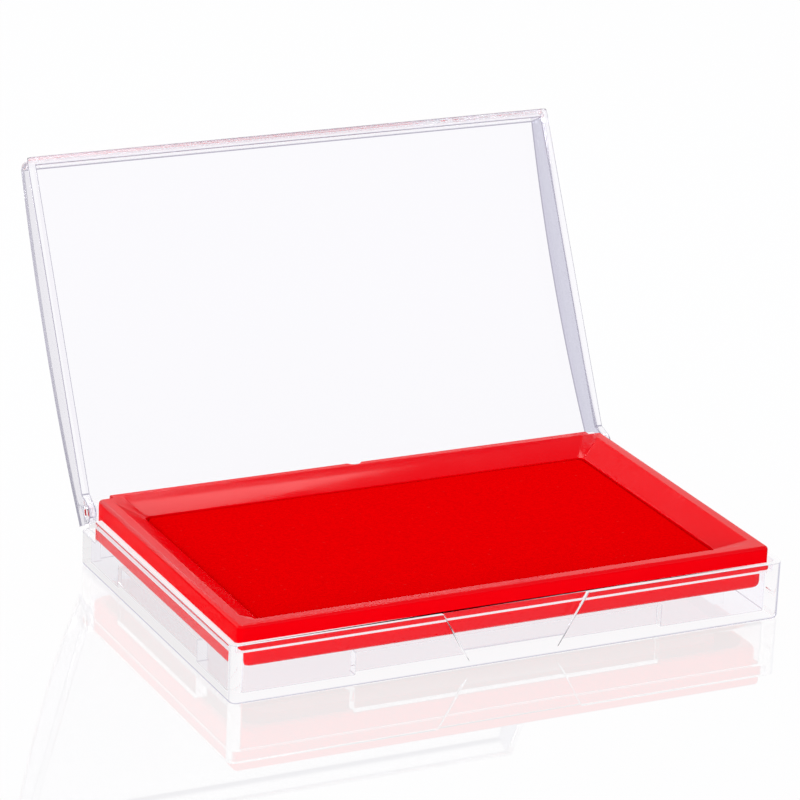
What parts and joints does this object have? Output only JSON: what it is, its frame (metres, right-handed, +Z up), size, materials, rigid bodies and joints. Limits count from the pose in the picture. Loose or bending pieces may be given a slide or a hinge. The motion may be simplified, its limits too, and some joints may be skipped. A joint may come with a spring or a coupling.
{
  "type": "stamp pad",
  "caption": "Stamp pad: a clear hinged case with an arched lid, holding a lift-out red tray with an inked foam pad under a cloth cover.",
  "frame": {"origin": "centre of the base's underside", "axes": "+X along the long side, +Y towards the hinge at the rear, +Z up"},
  "size_m": [0.137, 0.1279, 0.0878],
  "materials": {
    "clear_styrene": "clear moulded polystyrene, polished",
    "red_styrene": "opaque red moulded polystyrene, glossy",
    "ink_foam": "open-cell foam soaked with red ink",
    "inked_cloth": "fine woven cover soaked with red ink, damp matt"
  },
  "bodies": {
    "base": {"case_base": "clear_styrene"},
    "lid": {"case_lid": "clear_styrene"},
    "tray": {"ink_tray": "red_styrene", "ink_sponge": "ink_foam", "pad_cloth": "inked_cloth"}
  },
  "joints": [
    {"name": "lid_hinge", "type": "hinge", "parent": "base", "child": "lid", "pos_m": [0, 0.0405, 0.0136], "axis": [1, 0, 0], "range_deg": [0, 117.6]},
    {"name": "tray_lift", "type": "slide", "parent": "base", "child": "tray", "axis": [0, 0, 1], "range_m": [0, 0.025]}
  ]
}
